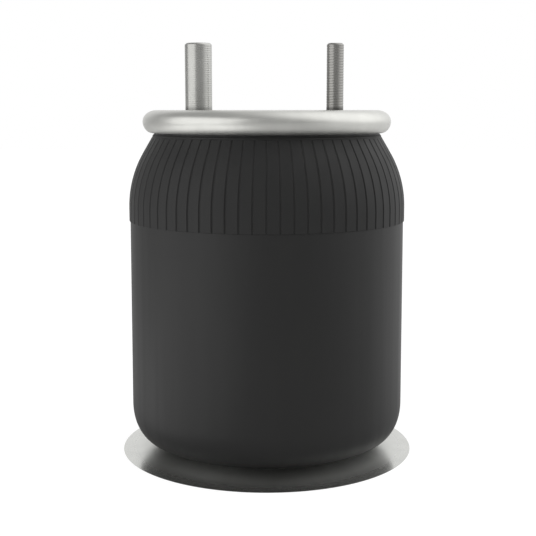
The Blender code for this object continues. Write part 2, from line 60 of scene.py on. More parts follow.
_, INNER_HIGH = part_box("bellows_inner_sleeve")
PISTON_LOW, PISTON_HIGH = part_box("piston_body")
_, SKIRT_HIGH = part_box("piston_skirt")
COMBO_LOW, COMBO_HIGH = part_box("combo_stud")
PLAIN_LOW, PLAIN_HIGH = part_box("mounting_stud")

PLATE_TOP = PLATE_HIGH.z
RING_RADIUS = PLATE_HIGH.x
SHOULDER_RADIUS = SHOULDER_HIGH.x
BAND_BOTTOM = SHOULDER_LOW.z
SHOULDER_TOP = SHOULDER_HIGH.z
SLEEVE_RADIUS = SLEEVE_HIGH.x
LOBE_TOP = LOBE_HIGH.z
LOBE_BOTTOM = LOBE_LOW.z
PISTON_RADIUS = PISTON_HIGH.x
RIM_RADIUS = SKIRT_HIGH.x
STUD_TOP = PLAIN_HIGH.z
COMBO_X = (COMBO_LOW.x + COMBO_HIGH.x) / 2
PLAIN_X = (PLAIN_LOW.x + PLAIN_HIGH.x) / 2

# Meshes and gaps
WELD_DISTANCE = 0.000002
SHARP_ANGLE = 40.0
RIM_STEPS = 192
WALL_STEPS = 160
HOLE_GAP = 0.0003
SEAM_GAP = 0.00005

# Plate and its rolled rim
PLATE_THICKNESS = 0.0032
ROLL_WIDTH = 0.0102
ROLL_HEIGHT = 0.0084
CURL_RADIUS = 0.0091
CURL_START = 4.0
CURL_TURN = 50.0
LIP_ROUND = 0.0056
INSIDE_CURL = 0.0024
INSIDE_END = 10.0
ROLL_SHEET = 0.0026
NECK_RADIUS = 0.0845
CUTTER_DEPTH = 0.02
CUTTER_STEPS = 64
PLATE_UNDER = PLATE_TOP - PLATE_THICKNESS
ROLL_Z = PLATE_TOP - ROLL_HEIGHT
ROLL_START = RING_RADIUS - ROLL_WIDTH
CURL_CENTRE = RING_RADIUS - CURL_RADIUS

# Studs
PLAIN_RADIUS = 0.00635
COMBO_RADIUS = 0.0101
PLAIN_PITCH = 0.00195
COMBO_PITCH = 0.00159
PLAIN_DEPTH = 0.00014
COMBO_DEPTH = 0.00006
PLAIN_STEPS = 48
COMBO_STEPS = 64
STUD_CHAMFER = 0.0012
THREAD_ROWS = 8
THREAD_ANGLE = 50.0
WALL_MARGIN = 0.00001
PORT_RADIUS = 0.0067
PORT_CHAMFER = 0.0005
PORT_DEPTH = 0.0150
BORE_RADIUS = 0.0054
STUD_HEAD_TOP = PLATE_UNDER - HOLE_GAP
STUD_WALL_TOP = STUD_TOP - STUD_CHAMFER

# Shoulder of the bellows
RUBBER_WALL = 0.0040
RIB_COUNT = 69
RIB_PITCH = math.tau / RIB_COUNT
RIB_ROWS = 26
RIB_ANGLE = 28.0
GROOVE_WIDTH = 0.0011
GROOVE_DEPTH = 0.0007
GROOVE_FADE = 0.0004
GROOVE_FLOOR = 0.55
GROOVE_FLOOR_DEPTH = 0.85
GROOVE_EDGE = 1.6
EDGE_ROUND = 0.0003
SHOULDER_ARC = 0.0799
SHOULDER_ARC_Z = 0.1865
SHOULDER_CONE_Z = 0.2270
SHOULDER_INNER_ROWS = 6
COLLAR_PROUD = 0.0007
COLLAR_ROUND = 0.6
COLLAR_STEP = 0.0004
COLLAR_TOP = SHOULDER_TOP - COLLAR_STEP
COLLAR_FOOT = SHOULDER_TOP - 0.0014
RIB_TOP = SHOULDER_TOP - 0.0026
NECK_TOP = SHOULDER_TOP + HOLE_GAP - SEAM_GAP
TONGUE_RADIUS = 0.0797
TONGUE_WALL = 0.0010
TONGUE_TOP = SHOULDER_TOP + 0.0026

# Sleeves and lobe of the bellows
SLEEVE_TOP_RADIUS = 0.1028
SLEEVE_ROWS = 20
SEAM_Z = BAND_BOTTOM - SEAM_GAP
LOBE_FULL = 0.95
INNER_RADIUS = INNER_HIGH.x - RUBBER_WALL
INNER_BEND = 0.0153
INNER_FILLET = 0.0053
INNER_ROWS = 12
INNER_STEPS = 96
BEAD_RADIUS = 0.0523
BEAD_HEIGHT = 0.0100
BEAD_LIP_REACH = 0.0060
BEAD_LIP_HEIGHT = 0.0030

# Piston
PISTON_WALL = 0.0025
PISTON_HOLE = 0.0163
SEAT_WIDTH = 0.0156
SEAT_FILLET = 0.0050
BOSS_HEIGHT = 0.0103

# Skirt
SKIRT_SHEET = 0.0018
SKIRT_INSET = 0.0028
RIM_SHEET = 0.0005
RIM_FLAT = 0.0020
RIM_EDGE = 0.0002
FLARE_HEIGHT = 0.0160
FLARE_END = 266.0

# Finishes
NOISE_RANGE = (0.3, 0.7)
CLOUD_SHADE = 0.92
ROUGH_PATCHES = (-0.03, 0.04)
GRAIN_DEPTH = 0.000004
MARK_DEPTH = 0.000005
# Heights above the plate over which the painted shade at a stud's foot fades out
FOOT_SHADE_RANGE = (PLATE_TOP + 0.0010, PLATE_TOP + 0.0034)
DULL_RANGE = (ROLL_Z - 0.0060, ROLL_Z - 0.0030)
SPUN_SPREAD = 0.8
SPUN_DIRECTION = 0.25
SPUN_GRAIN = 0.15
SPUN_MOTTLE = 0.15
RIM_POLISH = 0.13
POLISH_RANGE = (0.094, 0.108)
RUBBER_COLORS = ((0.0160, 0.0160, 0.0160), (0.0190, 0.0190, 0.0186))
RUBBER_SHEEN = 0.32
STREAK_ROUGHNESS = 0.04
PIT_DEPTH = 0.000008
STREAK_DEPTH = 0.00001
COAT_COLORS = ((0.016, 0.016, 0.017), (0.022, 0.022, 0.023))
COAT_ROUGHNESS = (0.32, 0.4)
PEEL_DEPTH = 0.00002
BRASS_COLORS = ((0.36, 0.27, 0.13), (0.52, 0.42, 0.22))
BRASS_ROUGHNESS = (0.5, 0.3)

# Camera and setting
CAMERA_PLACE = (0.0009, -0.8090, 0.2592)
CAMERA_PITCH = 8.478
CAMERA_LENS = 71.76
CAMERA_SENSOR = 36.0
FLOOR_HALF = 6.0
FLOOR_DROP = 0.0004
FLOOR_COLOR = (0.66, 0.66, 0.66)
FLOOR_ROUGHNESS = 0.9
FLOOR_SHEEN = 0.1
FLOOR_SHADE = (0.22, 0.22, 0.22)
FLOOR_GLOW = 0.9


# Profiles and meshes

def evenly(start, end, steps):
    """Values at even steps from start to end, both included."""
    return [start + (end - start) * i / steps for i in range(steps + 1)]


def arc(centre_r, centre_z, half_width, half_height, start, end, segments):
    """Points of an oval arc in the profile plane, from the start angle to the end angle."""
    points = []
    for degrees in evenly(start, end, segments):
        angle = math.radians(degrees)
        radius = centre_r + half_width * math.cos(angle)
        points.append((radius, centre_z + half_height * math.sin(angle)))
    return points


def linked(name, data):
    """A new object of the data, linked to the scene."""
    obj = bpy.data.objects.new(name, data)
    bpy.context.scene.collection.objects.link(obj)
    return obj


def finished(bm, name, material=None, angle=SHARP_ANGLE):
    """An object of the bmesh at the origin, shaded smooth up to the sharp edges."""
    bmesh.ops.remove_doubles(bm, verts=bm.verts, dist=WELD_DISTANCE)
    bmesh.ops.recalc_face_normals(bm, faces=bm.faces)
    mesh = bpy.data.meshes.new(name)
    bm.to_mesh(mesh)
    bm.free()
    mesh.shade_smooth()
    mesh.set_sharp_from_angle(angle=math.radians(angle))
    if material:
        mesh.materials.append(material)
    return linked(name, mesh)


def dress(obj, material):
    """Gives the object one material in place of any that it has."""
    obj.data.materials.clear()
    obj.data.materials.append(material)


def spun(profile, steps, closed):
    """A bmesh turned round the Z axis from a profile of (radius, height)."""
    bm = bmesh.new()
    verts = [bm.verts.new((r, 0.0, z)) for r, z in profile]
    for a, b in zip(verts, verts[1:]):
        bm.edges.new((a, b))
    if closed:
        bm.edges.new((verts[-1], verts[0]))
    bmesh.ops.spin(
        bm,
        geom=bm.verts[:] + bm.edges[:],
        cent=(0, 0, 0),
        axis=(0, 0, 1),
        dvec=(0, 0, 0),
        angle=math.tau,
        steps=steps,
        use_merge=True,
        use_duplicate=False,
    )
    return bm


# Shader nodes

def new_material(name):
    """A material with its node tree, its shader and a Texture Coordinate node's Object output."""
    mat = bpy.data.materials.new(name)
    mat.use_nodes = True
    nodes = mat.node_tree.nodes
    place = nodes.new("ShaderNodeTexCoord").outputs["Object"]
    return mat, mat.node_tree, nodes["Principled BSDF"], place


def noise(tree, place, scale, detail, stretch=(1, 1, 1)):
    """Noise on the given coordinates, stretched by dividing each axis by its stretch."""
    mapping = tree.nodes.new("ShaderNodeMapping")
    mapping.inputs["Scale"].default_value = [1 / s for s in stretch]
    tree.links.new(place, mapping.inputs["Vector"])
    texture = tree.nodes.new("ShaderNodeTexNoise")
    texture.inputs["Scale"].default_value = scale
    texture.inputs["Detail"].default_value = detail
    tree.links.new(mapping.outputs["Vector"], texture.inputs["Vector"])
    return texture.outputs["Fac"]


def ranged(tree, value, low, high, source=NOISE_RANGE, interpolation="LINEAR"):
    """The value mapped from its source range to low and high."""
    node = tree.nodes.new("ShaderNodeMapRange")
    node.interpolation_type = interpolation
    node.inputs["From Min"].default_value = source[0]
    node.inputs["From Max"].default_value = source[1]
    node.inputs["To Min"].default_value = low
    node.inputs["To Max"].default_value = high
    tree.links.new(value, node.inputs["Value"])
    return node.outputs["Result"]


def smooth_along(tree, place, toward, source, low, high):
    """Low to high as a place or direction goes the given way, smoothly over the source range."""
    facing = tree.nodes.new("ShaderNodeVectorMath")
    facing.operation = "DOT_PRODUCT"
    facing.inputs[1].default_value = Vector(toward).normalized()
    tree.links.new(place, facing.inputs[0])
    return ranged(tree, facing.outputs["Value"], low, high, source, "SMOOTHSTEP")


def maths(tree, operation, first, second):
    """The sum, product or greater of two values, as the operation says."""
    node = tree.nodes.new("ShaderNodeMath")
    node.operation = operation
    tree.links.new(first, node.inputs[0])
    tree.links.new(second, node.inputs[1])
    return node.outputs["Value"]


def mixed_color(tree, factor, first, second):
    """The first colour turning to the second by the factor. The first may be a node's output."""
    node = tree.nodes.new("ShaderNodeMix")
    node.data_type = "RGBA"
    if isinstance(first, bpy.types.NodeSocket):
        tree.links.new(first, node.inputs["A"])
    else:
        node.inputs["A"].default_value = (*first, 1)
    node.inputs["B"].default_value = (*second, 1)
    tree.links.new(factor, node.inputs["Factor"])
    return node.outputs["Result"]


def mixed_shader(tree, factor, first, second):
    """The first shader turning to the second by the factor."""
    node = tree.nodes.new("ShaderNodeMixShader")
    tree.links.new(factor, node.inputs["Fac"])
    tree.links.new(first, node.inputs[1])
    tree.links.new(second, node.inputs[2])
    return node.outputs["Shader"]


def bump(tree, shader, heights):
    """Bumps one on another: pairs of a height and its distance in metres."""
    normal = None
    for height, distance in heights:
        node = tree.nodes.new("ShaderNodeBump")
        node.inputs["Distance"].default_value = distance
        tree.links.new(height, node.inputs["Height"])
        if normal:
            tree.links.new(normal, node.inputs["Normal"])
        normal = node.outputs["Normal"]
    tree.links.new(normal, shader.inputs["Normal"])


def coordinate(tree, place, axis):
    """One of the three coordinates of a place."""
    split = tree.nodes.new("ShaderNodeSeparateXYZ")
    tree.links.new(place, split.inputs["Vector"])
    return split.outputs[axis]


def polar(tree, place):
    """Coordinates of radius, zero and height, so that a pattern on them runs round the axis."""
    flat = tree.nodes.new("ShaderNodeCombineXYZ")
    tree.links.new(coordinate(tree, place, "X"), flat.inputs["X"])
    tree.links.new(coordinate(tree, place, "Y"), flat.inputs["Y"])
    length = tree.nodes.new("ShaderNodeVectorMath")
    length.operation = "LENGTH"
    tree.links.new(flat.outputs["Vector"], length.inputs[0])
    join = tree.nodes.new("ShaderNodeCombineXYZ")
    tree.links.new(length.outputs["Value"], join.inputs["X"])
    tree.links.new(coordinate(tree, place, "Z"), join.inputs["Z"])
    return join.outputs["Vector"]


def clouded(tree, shader, clouds, colors, patches, roughness):
    """Varies the base colour and the roughness by noise, each between two values."""
    color = mixed_color(tree, ranged(tree, clouds, 0, 1), *colors)
    tree.links.new(color, shader.inputs["Base Color"])
    tree.links.new(ranged(tree, patches, *roughness), shader.inputs["Roughness"])


# Materials

def plated_steel(
    name,
    color,
    roughness,
    spin_marks=True,
    foot=1.0,
    dull=0.0,
    metallic=1.0,
    mottle=1.0,
    grain=1.0,
):
    """Zinc plated steel: faint clouds, rough patches by their mottle, and fine grain and turning
    marks by their grain. A stud's foot is darker by its share, a painted shade where it meets the
    plate, and a roll is duller underneath by the given roughness."""
    mat, tree, shader, place = new_material(name)
    shader.inputs["Metallic"].default_value = metallic
    clouds = noise(tree, place, scale=60, detail=4)
    darker = [c * CLOUD_SHADE for c in color]
    tone_and_foot_shade = mixed_color(tree, ranged(tree, clouds, 0, 1), darker, color)
    # Painted shade: the base colour darkens by the foot share towards the plate, where the stud
    # stands on it
    if foot < 1.0:
        foot_shade_mask = ranged(tree, coordinate(tree, place, "Z"), 1, 0, FOOT_SHADE_RANGE)
        tone_and_foot_shade = mixed_color(tree, foot_shade_mask, tone_and_foot_shade, [c * foot for c in color])
    tree.links.new(tone_and_foot_shade, shader.inputs["Base Color"])
    patches = noise(tree, place, scale=220, detail=4)
    low, high = (roughness + change * mottle for change in ROUGH_PATCHES)
    rough = ranged(tree, patches, low, high)
    if dull:
        under = ranged(tree, coordinate(tree, place, "Z"), dull, 0, DULL_RANGE)
        rough = maths(tree, "ADD", rough, under)
    tree.links.new(rough, shader.inputs["Roughness"])
    heights = [(noise(tree, place, scale=1100, detail=1), GRAIN_DEPTH * grain)]
    if spin_marks:
        marks = noise(tree, polar(tree, place), scale=700, detail=1)
        heights.append((marks, MARK_DEPTH * grain))
    bump(tree, shader, heights)
    return mat


def spun_steel(name, color, roughness, metallic):
    """Plated steel with fine turning marks round the Z axis, which spread a reflection towards and
    away from it, and burnished smoother at the rim."""
    mat = plated_steel(
        name, color, roughness, metallic=metallic, mottle=SPUN_MOTTLE, grain=SPUN_GRAIN
    )
    tree = mat.node_tree
    shader = tree.nodes["Principled BSDF"]
    shader.inputs["Anisotropic"].default_value = SPUN_SPREAD
    shader.inputs["Anisotropic Rotation"].default_value = SPUN_DIRECTION
    place = tree.nodes.new("ShaderNodeTexCoord").outputs["Object"]
    radius = coordinate(tree, polar(tree, place), "X")
    polish = ranged(tree, radius, 0, -RIM_POLISH, POLISH_RANGE)
    rough = shader.inputs["Roughness"].links[0].from_socket
    tree.links.new(maths(tree, "ADD", rough, polish), shader.inputs["Roughness"])
    return mat


def bellows_rubber(name, roughness):
    """Moulded black rubber: a satin skin with fine pits, faint dust and upright flow streaks."""
    mat, tree, shader, place = new_material(name)
    dust = noise(tree, place, scale=30, detail=5, stretch=(1, 1, 3))
    streaks = noise(tree, place, scale=120, detail=2, stretch=(1, 1, 30))
    rough = (roughness - STREAK_ROUGHNESS, roughness + STREAK_ROUGHNESS)
    clouded(tree, shader, dust, RUBBER_COLORS, streaks, rough)
    shader.inputs["Specular IOR Level"].default_value = RUBBER_SHEEN
    pits = noise(tree, place, scale=1500, detail=1)
    bump(tree, shader, [(pits, PIT_DEPTH), (streaks, STREAK_DEPTH)])
    return mat


def black_coat(name):
    """Black electrocoat on drawn steel, with a light orange peel."""
    mat, tree, shader, place = new_material(name)
    patches = noise(tree, place, scale=40, detail=4)
    clouded(tree, shader, patches, COAT_COLORS, patches, COAT_ROUGHNESS)
    bump(tree, shader, [(noise(tree, place, scale=700, detail=2), PEEL_DEPTH)])
    return mat


def brass_wire(name):
    """Brass coated wire, duller where it is tarnished."""
    mat, tree, shader, place = new_material(name)
    shader.inputs["Metallic"].default_value = 1.0
    tarnish = noise(tree, place, scale=150, detail=4)
    clouded(tree, shader, tarnish, BRASS_COLORS, tarnish, BRASS_ROUGHNESS)
    return mat


# Bead plate

def plate_profile():
    """Half section of the plate: flat top, rolled rim, curl, tighter lip, and back up inside."""
    profile = [(0.0, PLATE_TOP)]
    profile += arc(ROLL_START, ROLL_Z, ROLL_WIDTH, ROLL_HEIGHT, 90, 0, segments=24)
    curl = arc(
        CURL_CENTRE, ROLL_Z, CURL_RADIUS, CURL_RADIUS, -CURL_START, -CURL_TURN, segments=14
    )
    turn = math.radians(CURL_TURN)
    lip_r = curl[-1][0] - LIP_ROUND * math.cos(turn)
    lip_z = curl[-1][1] + LIP_ROUND * math.sin(turn)
    profile += curl[:-1]
    profile += arc(lip_r, lip_z, LIP_ROUND, LIP_ROUND, -CURL_TURN, -90, segments=8)
    neck = NECK_RADIUS + HOLE_GAP
    profile += [(neck, lip_z - LIP_ROUND), (neck, ROLL_Z - INSIDE_CURL)]
    inside_r = RING_RADIUS - ROLL_SHEET - INSIDE_CURL
    profile += arc(inside_r, ROLL_Z, INSIDE_CURL, INSIDE_CURL, -90, -INSIDE_END, segments=5)
    inner_width = ROLL_WIDTH - ROLL_SHEET
    profile += arc(ROLL_START, ROLL_Z, inner_width, PLATE_UNDER - ROLL_Z, 0, 90, segments=8)
    profile += [(0.0, PLATE_UNDER)]
    return profile


def cut_hole(obj, x, radius):
    """Cuts an upright round hole through the plate."""
    bm = bmesh.new()
    bmesh.ops.create_cone(
        bm,
        cap_ends=True,
        segments=CUTTER_STEPS,
        radius1=radius,
        radius2=radius,
        depth=CUTTER_DEPTH,
    )
    bmesh.ops.translate(bm, verts=bm.verts, vec=(x, 0.0, PLATE_TOP))
    cutter = finished(bm, "stud_hole")
    cut = obj.modifiers.new("hole", "BOOLEAN")
    cut.object = cutter
    cut.solver = "EXACT"
    seen = obj.evaluated_get(bpy.context.evaluated_depsgraph_get())
    mesh = bpy.data.meshes.new_from_object(seen)
    mesh.set_sharp_from_angle(angle=math.radians(SHARP_ANGLE))
    obj.modifiers.clear()
    obj.data = mesh
    bpy.data.objects.remove(cutter)


def make_plate(steel):
    """Crimped plate with its two stud holes."""
    obj = finished(spun(plate_profile(), RIM_STEPS, False), "crimped_plate")
    cut_hole(obj, COMBO_X, COMBO_RADIUS + HOLE_GAP)
    cut_hole(obj, PLAIN_X, PLAIN_RADIUS + HOLE_GAP)
    dress(obj, steel)
    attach(obj, "bead_plate")
    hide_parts("bead_plate")


# Studs

def cut_thread(bm, radius, pitch, depth, low, high):
    """Presses a helical groove into the stud's outer wall between two heights."""
    for vert in bm.verts:
        x, y, z = vert.co
        distance = math.hypot(x, y)
        if distance < radius - WALL_MARGIN or not low < z < high:
            continue
        turn = (z / pitch - math.atan2(y, x) / math.tau) % 1.0
        hollow = (0.5 - 0.5 * math.cos(math.tau * turn))**2
        fade = min(1.0, (z - low) / pitch, (high - z) / pitch)
        factor = 1.0 - depth * hollow * fade / distance
        vert.co.x *= factor
        vert.co.y *= factor


def stud_wall(radius, pitch):
    """Points down the threaded wall, several to a turn of the thread."""
    rows = round((STUD_WALL_TOP - PLATE_TOP) / pitch * THREAD_ROWS)
    return [(radius, z) for z in evenly(STUD_WALL_TOP, PLATE_TOP, rows)]


def threaded(bm, x, radius, pitch, depth):
    """Threads a spun stud above the plate and moves it to its place."""
    cut_thread(bm, radius, pitch, depth, PLATE_TOP + pitch, STUD_WALL_TOP)
    bmesh.ops.translate(bm, verts=bm.verts, vec=(x, 0, 0))
    return bm


def make_plain_stud(steel):
    """Plain threaded stud with its head under the plate."""
    head_radius = PLAIN_HIGH.x - PLAIN_X
    profile = [(0.0, STUD_TOP), (PLAIN_RADIUS - STUD_CHAMFER, STUD_TOP)]
    profile += stud_wall(PLAIN_RADIUS, PLAIN_PITCH)
    profile += [(PLAIN_RADIUS, STUD_HEAD_TOP), (head_radius, STUD_HEAD_TOP)]
    profile += [(head_radius, PLAIN_LOW.z), (0.0, PLAIN_LOW.z)]
    bm = spun(profile, PLAIN_STEPS, False)
    bm = threaded(bm, PLAIN_X, PLAIN_RADIUS, PLAIN_PITCH, PLAIN_DEPTH)
    obj = finished(bm, "threaded_stud", steel, THREAD_ANGLE)
    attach(obj, "bead_plate")
    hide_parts("mounting_stud")


def make_combo_stud(steel):
    """Wide threaded stud with the air port down its middle."""
    head_radius = COMBO_HIGH.x - COMBO_X
    profile = [(PORT_RADIUS + PORT_CHAMFER, STUD_TOP), (COMBO_RADIUS - STUD_CHAMFER, STUD_TOP)]
    profile += stud_wall(COMBO_RADIUS, COMBO_PITCH)
    profile += [(COMBO_RADIUS, STUD_HEAD_TOP), (head_radius, STUD_HEAD_TOP)]
    profile += [(head_radius, COMBO_LOW.z), (BORE_RADIUS, COMBO_LOW.z)]
    profile += [(BORE_RADIUS, STUD_TOP - PORT_DEPTH), (PORT_RADIUS, STUD_TOP - PORT_CHAMFER)]
    bm = spun(profile, COMBO_STEPS, True)
    bm = threaded(bm, COMBO_X, COMBO_RADIUS, COMBO_PITCH, COMBO_DEPTH)
    obj = finished(bm, "air_port_stud", steel, THREAD_ANGLE)
    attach(obj, "bead_plate")
    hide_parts("combo_stud")


# Bellows

def shoulder_radius(z):
    """Outer radius of the ribbed shoulder: upright, then an arc, then a cone up to the crimp."""
    height = SHOULDER_CONE_Z - SHOULDER_ARC_Z
    arc_z = min(max(z - SHOULDER_ARC_Z, 0.0), height)
    drop = SHOULDER_ARC - math.sqrt(SHOULDER_ARC**2 - arc_z**2)
    slope = height / math.sqrt(SHOULDER_ARC**2 - height**2)
    return SHOULDER_RADIUS - drop - slope * max(0.0, z - SHOULDER_CONE_Z)


def rib_columns(z):
    """Angle and depth of each column of points across one rib and its groove, at a height."""
    half = GROOVE_WIDTH / shoulder_radius(z) / 2
    floor = GROOVE_FLOOR * half
    floor_depth = GROOVE_DEPTH * GROOVE_FLOOR_DEPTH
    edge = GROOVE_EDGE * half
    return [
        (0.0, GROOVE_DEPTH),
        (floor, floor_depth),
        (half, EDGE_ROUND),
        (edge, 0.0),
        (RIB_PITCH / 2, 0.0),
        (RIB_PITCH - edge, 0.0),
        (RIB_PITCH - half, EDGE_ROUND),
        (RIB_PITCH - floor, floor_depth),
    ]


def shoulder_profile():
    """Section of the shoulder: neck, collar, ribbed wall and inner wall. A thin tongue at its top
    lies inside the bead's neck and covers the seam when the plate tilts."""
    neck = shoulder_radius(SHOULDER_TOP)
    collar = neck + COLLAR_PROUD
    profile = [(neck, NECK_TOP), (neck, SHOULDER_TOP)]
    profile += [(neck + COLLAR_ROUND * COLLAR_PROUD, COLLAR_TOP)]
    profile += [(collar, COLLAR_TOP - COLLAR_STEP), (collar, COLLAR_FOOT)]
    heights = [RIB_TOP + GROOVE_FADE] + evenly(RIB_TOP, BAND_BOTTOM + EDGE_ROUND, RIB_ROWS)
    profile += [(shoulder_radius(z), z) for z in heights]
    profile.append((SHOULDER_RADIUS - EDGE_ROUND, BAND_BOTTOM))
    for z in evenly(BAND_BOTTOM, SHOULDER_TOP, SHOULDER_INNER_ROWS):
        profile.append((shoulder_radius(z) - RUBBER_WALL, z))
    tongue_inside = TONGUE_RADIUS - TONGUE_WALL
    profile += [(tongue_inside, SHOULDER_TOP), (tongue_inside, TONGUE_TOP)]
    profile += [(TONGUE_RADIUS, TONGUE_TOP), (TONGUE_RADIUS, NECK_TOP)]
    return profile


def make_shoulder(rubber):
    """Ribbed shoulder: even columns are spun, then moved to the rib's own places and depths."""
    across = len(rib_columns(BAND_BOTTOM))
    total = RIB_COUNT * across
    bm = spun(shoulder_profile(), total, True)
    bmesh.ops.remove_doubles(bm, verts=bm.verts, dist=WELD_DISTANCE)
    flat = math.cos(RIB_PITCH / 2)
    groove_top = RIB_TOP + GROOVE_FADE / 2
    for vert in bm.verts:
        z = vert.co.z
        radius = math.hypot(vert.co.x, vert.co.y)
        column = round(math.atan2(vert.co.y, vert.co.x) / math.tau * total) % total
        share, depth = rib_columns(z)[column % across]
        angle = column // across * RIB_PITCH + share - math.pi / 2
        if radius > shoulder_radius(z) - RUBBER_WALL / 2 and z < groove_top:
            radius = radius * flat / math.cos(share - RIB_PITCH / 2) - depth
        vert.co.x = radius * math.cos(angle)
        vert.co.y = radius * math.sin(angle)
    obj = finished(bm, "ribbed_shoulder", rubber, RIB_ANGLE)
    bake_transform(obj)
    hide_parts("bellows_shoulder")


def sleeve_point(share, inset):
    """A point of the plain sleeve, by its share of the way from the seam down to the lobe."""
    radius = SLEEVE_TOP_RADIUS + (SLEEVE_RADIUS - SLEEVE_TOP_RADIUS) * share
    return radius - inset, SEAM_Z + (LOBE_TOP - SEAM_Z) * share


def make_outer_sleeve(rubber):
    """Plain sleeve and the rolled lobe under it, one wall of even thickness."""
    centre = (SLEEVE_RADIUS + INNER_RADIUS) / 2
    half_width = (SLEEVE_RADIUS - INNER_RADIUS) / 2
    depth = LOBE_TOP - LOBE_BOTTOM
    inner_width = half_width - RUBBER_WALL
    inner_depth = depth - RUBBER_WALL
    profile = [sleeve_point(share, 0.0) for share in evenly(0.0, 1.0, SLEEVE_ROWS)[:-1]]
    for r, z in arc(0.0, 0.0, 1.0, 1.0, 0, -90, segments=28):
        radius = centre + half_width * max(r, 0.0)**LOBE_FULL
        profile.append((radius, LOBE_TOP - depth * abs(z)**LOBE_FULL))
    profile += arc(centre, LOBE_TOP, half_width, depth, -94, -180, segments=20)
    profile += arc(centre, LOBE_TOP, inner_width, inner_depth, -180, 0, segments=24)
    profile += [sleeve_point(share, RUBBER_WALL) for share in evenly(1.0, 0.0, SLEEVE_ROWS)[1:]]
    obj = finished(spun(profile, WALL_STEPS, True), "sleeve_and_lobe", rubber)
    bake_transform(obj)
    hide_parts("bellows_outer_sleeve", "bellows_lobe")


def make_inner_sleeve(rubber):
    """Wall that lies on the piston, from the lobe up to the lower bead, which is turned in."""
    top = INNER_HIGH.z
    start = top - INNER_BEND
    low = LOBE_TOP + HOLE_GAP
    outside = INNER_RADIUS + RUBBER_WALL
    bend_r = outside - INNER_BEND
    floor = top - BEAD_HEIGHT
    fillet_r = INNER_RADIUS - INNER_FILLET
    fillet_z = floor - INNER_FILLET
    bead = BEAD_RADIUS + BEAD_LIP_REACH
    lip_z = top - BEAD_LIP_HEIGHT
    profile = [(BEAD_RADIUS, top)]
    profile += arc(bend_r, start, INNER_BEND, INNER_BEND, 90, 0, segments=10)
    profile += [(outside, z) for z in evenly(start, low, INNER_ROWS)[1:]]
    profile += [(INNER_RADIUS, z) for z in evenly(low, fillet_z, INNER_ROWS)[:-1]]
    profile += arc(fillet_r, fillet_z, INNER_FILLET, INNER_FILLET, 0, 90, segments=6)
    profile += [(bead, floor), (bead, floor + BEAD_LIP_HEIGHT), (bead, lip_z)]
    profile += [(BEAD_RADIUS, lip_z)]
    obj = finished(spun(profile, INNER_STEPS, True), "inner_sleeve", rubber)
    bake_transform(obj)
    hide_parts("bellows_inner_sleeve")


# Piston and skirt

def make_piston(coat):
    """Drawn cup that the bellows rolls on, with a raised boss above the lower bead's seat."""
    top = PISTON_HIGH.z
    seat = top - BOSS_HEIGHT
    boss = PISTON_RADIUS - SEAT_WIDTH
    inside = PISTON_RADIUS - PISTON_WALL
    fillet_r = PISTON_RADIUS - SEAT_FILLET
    fillet_z = seat - SEAT_FILLET
    inner_fillet = SEAT_FILLET - PISTON_WALL
    boss_inside = boss - PISTON_WALL
    top_inside = top - PISTON_WALL
    profile = [(PISTON_HOLE, top), (boss, top), (boss, seat)]
    profile += arc(fillet_r, fillet_z, SEAT_FILLET, SEAT_FILLET, 90, 0, segments=8)
    profile += [(PISTON_RADIUS, PISTON_LOW.z), (inside, PISTON_LOW.z)]
    profile += arc(fillet_r, fillet_z, inner_fillet, inner_fillet, 0, 90, segments=6)
    profile += [(boss_inside, seat - PISTON_WALL), (boss_inside, top_inside)]
    profile += [(PISTON_HOLE, top_inside)]
    obj = finished(spun(profile, WALL_STEPS, True), "piston_cup", coat)
    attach(obj, "piston")
    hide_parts("piston_body")


def make_skirt(steel):
    """Collar, step and flare of the spun skirt, thinned to its rim and undercut there."""
    centre = RIM_RADIUS - RIM_FLAT
    sweep = centre - PISTON_RADIUS
    flare_depth = FLARE_HEIGHT - RIM_SHEET
    collar = PISTON_RADIUS - SKIRT_INSET
    collar_inside = collar - SKIRT_SHEET
    step_z = PISTON_LOW.z - HOLE_GAP
    profile = [(collar, SKIRT_HIGH.z), (collar, step_z), (PISTON_RADIUS, step_z)]
    profile += arc(centre, FLARE_HEIGHT, sweep, flare_depth, 180, FLARE_END, segments=34)
    profile += [(RIM_RADIUS, RIM_EDGE), (RIM_RADIUS - 2 * RIM_EDGE, 0.0)]
    profile += arc(
        centre, FLARE_HEIGHT, sweep + SKIRT_SHEET, FLARE_HEIGHT, 270, 180, segments=30
    )
    profile += [(collar_inside, FLARE_HEIGHT + SKIRT_SHEET), (collar_inside, SKIRT_HIGH.z)]
    obj = finished(spun(profile, RIM_STEPS, True), "flared_skirt", steel)
    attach(obj, "piston")
    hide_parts("piston_skirt")


# CAD nodes that stay

def dress_nodes(rubber, coat, fastener, wire):
    """Gives the CAD nodes that stay their finishes."""
    finishes = {
        "bellows_upper_bead": rubber,
        "bumper": rubber,
        "upper_bead_wire": wire,
        "lower_bead_wire": wire,
        "end_closure": coat,
        "piston_base": coat,
        "support_tube": coat,
        "bumper_washer": fastener,
        "bumper_screw": fastener,
        "piston_bolt": fastener,
        "piston_bolt_washer": fastener,
        "base_weld_nut_left": fastener,
        "base_weld_nut_right": fastener,
    }
    for node, material in finishes.items():
        dress(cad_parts[node], material)


# Setting

def ray_kinds(tree):
    """Whether a ray comes from the camera, and whether it comes off metal or through glass."""
    rays = tree.nodes.new("ShaderNodeLightPath")
    glossy = rays.outputs["Is Glossy Ray"]
    through = rays.outputs["Is Transmission Ray"]
    return rays.outputs["Is Camera Ray"], maths(tree, "MAXIMUM", glossy, through)


def white_light(tree, kind, strength=1.0):
    """A node of the kind, which gives off white light."""
    node = tree.nodes.new(kind)
    node.inputs["Color"].default_value = (1, 1, 1, 1)
    node.inputs["Strength"].default_value = strength
    return node


